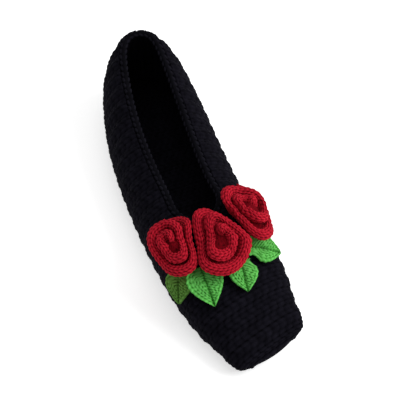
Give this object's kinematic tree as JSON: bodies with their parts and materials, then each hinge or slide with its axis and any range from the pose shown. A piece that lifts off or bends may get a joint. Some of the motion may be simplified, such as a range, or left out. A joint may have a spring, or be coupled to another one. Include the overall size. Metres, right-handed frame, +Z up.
{
  "type": "crochet slipper",
  "caption": "Low-cut crocheted indoor slipper for the left foot with a ribbed upper, soft sole, collar edging and rolled yarn roses with leaves at the throat.",
  "frame": {"origin": "middle of the slipper's box, on the floor plane under the sole", "axes": "+Z up, -Y towards the toe, +Y towards the heel, +X towards the outer side of the foot"},
  "size_m": [0.0796, 0.2436, 0.064],
  "materials": {
    "sole_yarn": "black crocheted yarn, matt",
    "upper_yarn": "black ribbed crochet, matt",
    "edging_yarn": "black crocheted edging, matt",
    "rose_yarn": "red crocheted yarn, matt",
    "leaf_yarn": "green crocheted yarn, matt"
  },
  "bodies": {
    "root": {"sole": "sole_yarn", "upper": "upper_yarn", "collar_edging": "edging_yarn", "rose_medial": "rose_yarn", "rose_centre": "rose_yarn", "rose_lateral": "rose_yarn", "leaf_medial": "leaf_yarn", "leaf_front_medial": "leaf_yarn", "leaf_front_lateral": "leaf_yarn", "leaf_lateral": "leaf_yarn"}
  },
  "joints": []
}
